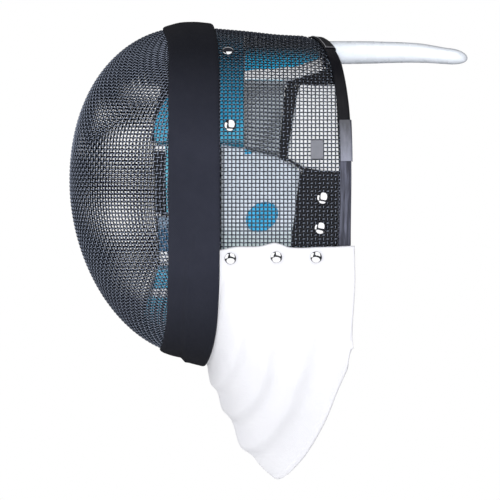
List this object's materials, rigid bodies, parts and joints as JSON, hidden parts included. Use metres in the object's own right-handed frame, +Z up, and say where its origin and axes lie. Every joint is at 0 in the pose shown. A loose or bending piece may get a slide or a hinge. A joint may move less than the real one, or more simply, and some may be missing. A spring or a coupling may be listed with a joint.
{
  "type": "fencing mask",
  "caption": "Three-weapon style fencing mask: domed wire-cloth face, wire side mesh, dark trim band, padded white throat bib, lining pads, rivets and sleeved spring tongue.",
  "frame": {"origin": "the point under the crown pad where the top of the wearer's head sits, on the mask's middle plane", "axes": "-Y is the way the mask faces, +Y runs to the rear where the spring tongue leaves, +Z is up, +X is the wearer's left"},
  "size_m": [0.1912, 0.3184, 0.3664],
  "materials": {
    "wire": "black coated woven steel wire, satin",
    "trim_tape": "dark grey-blue padded tape, matt fine weave",
    "binding": "black vinyl binding, satin",
    "binding_sleeve": "grey-black shrunk sleeve, glossy",
    "bib_cloth": "white padded cloth, matt, soft folds",
    "spring_steel": "bare spring strip",
    "sleeve_plastic": "soft milky white plastic, satin",
    "teal_cloth": "dark teal brushed cloth over foam",
    "blue_cloth": "blue brushed cloth over foam",
    "white_cloth": "white cotton cloth over foam",
    "black_cloth": "black webbing and cloth, matt",
    "grey_cloth": "grey ribbed cloth",
    "tag_plastic": "bare grey tag",
    "rivet_chrome": "polished nickel plate"
  },
  "bodies": {
    "root": {"front_mesh": "wire", "side_mesh": "wire", "trim_band": "trim_tape", "rear_rim": "binding", "rim_cover_crown": "binding", "rim_sleeve_left": "binding_sleeve", "rim_sleeve_right": "binding_sleeve", "bib": "bib_cloth", "tongue_spring": "spring_steel", "tongue_sleeve": "sleeve_plastic", "crown_pad": "teal_cloth", "forehead_pad": "blue_cloth", "chin_pad": "blue_cloth", "crown_tape_left": "white_cloth", "temple_pad_left": "black_cloth", "jaw_pad_left": "grey_cloth", "spacer_panel_left": "grey_cloth", "cheek_pad_left": "white_cloth", "cheek_disc_left": "blue_cloth", "strap_upper_left": "black_cloth", "strap_side_left": "black_cloth", "anchor_patch_left": "black_cloth", "patch_tail_left": "black_cloth", "ear_cloth_left": "white_cloth", "crown_tape_right": "white_cloth", "temple_pad_right": "black_cloth", "jaw_pad_right": "grey_cloth", "spacer_panel_right": "grey_cloth", "cheek_pad_right": "white_cloth", "cheek_disc_right": "blue_cloth", "strap_upper_right": "black_cloth", "strap_side_right": "black_cloth", "anchor_patch_right": "black_cloth", "patch_tail_right": "black_cloth", "ear_cloth_right": "white_cloth", "mesh_tag": "tag_plastic", "rivet_crown_left": "rivet_chrome", "rivet_crown_right": "rivet_chrome", "rivet_temple_left": "rivet_chrome", "rivet_temple_right": "rivet_chrome", "rivet_patch_upper_left": "rivet_chrome", "rivet_patch_upper_right": "rivet_chrome", "rivet_patch_lower_left": "rivet_chrome", "rivet_patch_lower_right": "rivet_chrome", "rivet_bib_front_left": "rivet_chrome", "rivet_bib_front_right": "rivet_chrome", "rivet_bib_middle_left": "rivet_chrome", "rivet_bib_middle_right": "rivet_chrome", "rivet_bib_rear_left": "rivet_chrome", "rivet_bib_rear_right": "rivet_chrome"}
  },
  "joints": []
}
